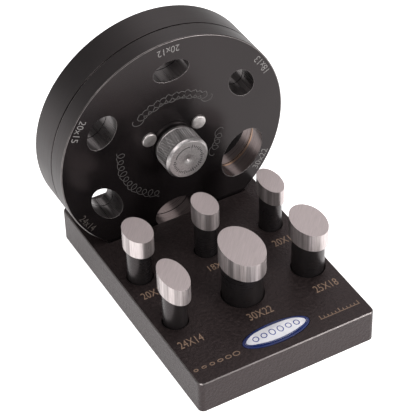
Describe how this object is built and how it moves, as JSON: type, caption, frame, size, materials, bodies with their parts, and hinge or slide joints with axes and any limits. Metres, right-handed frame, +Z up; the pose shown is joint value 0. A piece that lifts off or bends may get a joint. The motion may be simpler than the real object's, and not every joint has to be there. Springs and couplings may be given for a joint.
{
  "type": "oval disc cutter set",
  "caption": "Oval blanking die set: loose oval punches in a flat steel base and a round two-plate die with matching oval openings and a clamp knob.",
  "frame": {"origin": "centre of the base's underside, on the surface it stands on", "axes": "+Z up, +Y from the front edge with the badge to the back edge behind the die wheel, +X to the right seen from the front"},
  "size_m": [0.128, 0.15, 0.1322],
  "materials": {
    "base_block": "black oxide, satin",
    "badge_plate": "gloss blue",
    "badge_dome": "gloss pale",
    "die_plate": "black oxide, satin",
    "guide_plate": "black oxide, satin",
    "guide_pin_left": "ground",
    "guide_pin_right": "ground",
    "lift_spring": "bright wire",
    "thrust_washer": "black",
    "clamp_knob": "knurled, satin nickel",
    "clamp_screw": "plain",
    "cross_pin": "plain",
    "retaining_ring": "black",
    "punch_18x13": "ground head, black shank",
    "punch_20x12": "ground head, black shank",
    "punch_20x15": "ground head, black shank",
    "punch_24x14": "ground head, black shank",
    "punch_25x18": "ground head, black shank",
    "punch_30x22": "ground head, black shank"
  },
  "bodies": {
    "base": {"base_block": "base_block", "badge_plate": "badge_plate", "badge_dome": "badge_dome"},
    "die_back": {"die_plate": "die_plate", "guide_pin_left": "guide_pin_left", "guide_pin_right": "guide_pin_right", "lift_spring": "lift_spring"},
    "die_front": {"guide_plate": "guide_plate"},
    "washer": {"thrust_washer": "thrust_washer"},
    "knob": {"clamp_knob": "clamp_knob", "clamp_screw": "clamp_screw", "cross_pin": "cross_pin", "retaining_ring": "retaining_ring"},
    "punch_18x13_body": {"punch_18x13": "punch_18x13"},
    "punch_20x12_body": {"punch_20x12": "punch_20x12"},
    "punch_20x15_body": {"punch_20x15": "punch_20x15"},
    "punch_24x14_body": {"punch_24x14": "punch_24x14"},
    "punch_25x18_body": {"punch_25x18": "punch_25x18"},
    "punch_30x22_body": {"punch_30x22": "punch_30x22"}
  },
  "joints": [
    {"name": "wheel_lift", "type": "slide", "parent": "base", "child": "die_back", "axis": [0, 0, 1], "range_m": [0, 0.08]},
    {"name": "plate_open", "type": "slide", "parent": "die_back", "child": "die_front", "axis": [0, -1, 0], "range_m": [0, 0.0008]},
    {"name": "screw_travel", "type": "slide", "parent": "die_back", "child": "washer", "axis": [0, -1, 0], "range_m": [0, 0.0008]},
    {"name": "knob_turn", "type": "hinge", "parent": "washer", "child": "knob", "pos_m": [0, 0.0234, 0.0682], "axis": [0, -1, 0], "range_deg": [0, 230.4]},
    {"name": "punch_18x13_lift", "type": "slide", "parent": "base", "child": "punch_18x13_body", "axis": [0, 0, 1], "range_m": [0, 0.06]},
    {"name": "punch_20x12_lift", "type": "slide", "parent": "base", "child": "punch_20x12_body", "axis": [0, 0, 1], "range_m": [0, 0.06]},
    {"name": "punch_20x15_lift", "type": "slide", "parent": "base", "child": "punch_20x15_body", "axis": [0, 0, 1], "range_m": [0, 0.06]},
    {"name": "punch_24x14_lift", "type": "slide", "parent": "base", "child": "punch_24x14_body", "axis": [0, 0, 1], "range_m": [0, 0.06]},
    {"name": "punch_25x18_lift", "type": "slide", "parent": "base", "child": "punch_25x18_body", "axis": [0, 0, 1], "range_m": [0, 0.06]},
    {"name": "punch_30x22_lift", "type": "slide", "parent": "base", "child": "punch_30x22_body", "axis": [0, 0, 1], "range_m": [0, 0.06]}
  ],
  "couplings": [
    {"joint": "knob_turn", "follows": "screw_travel", "rad_per_m": 5026.5},
    {"joint": "plate_open", "follows": "screw_travel", "ratio": 1}
  ]
}
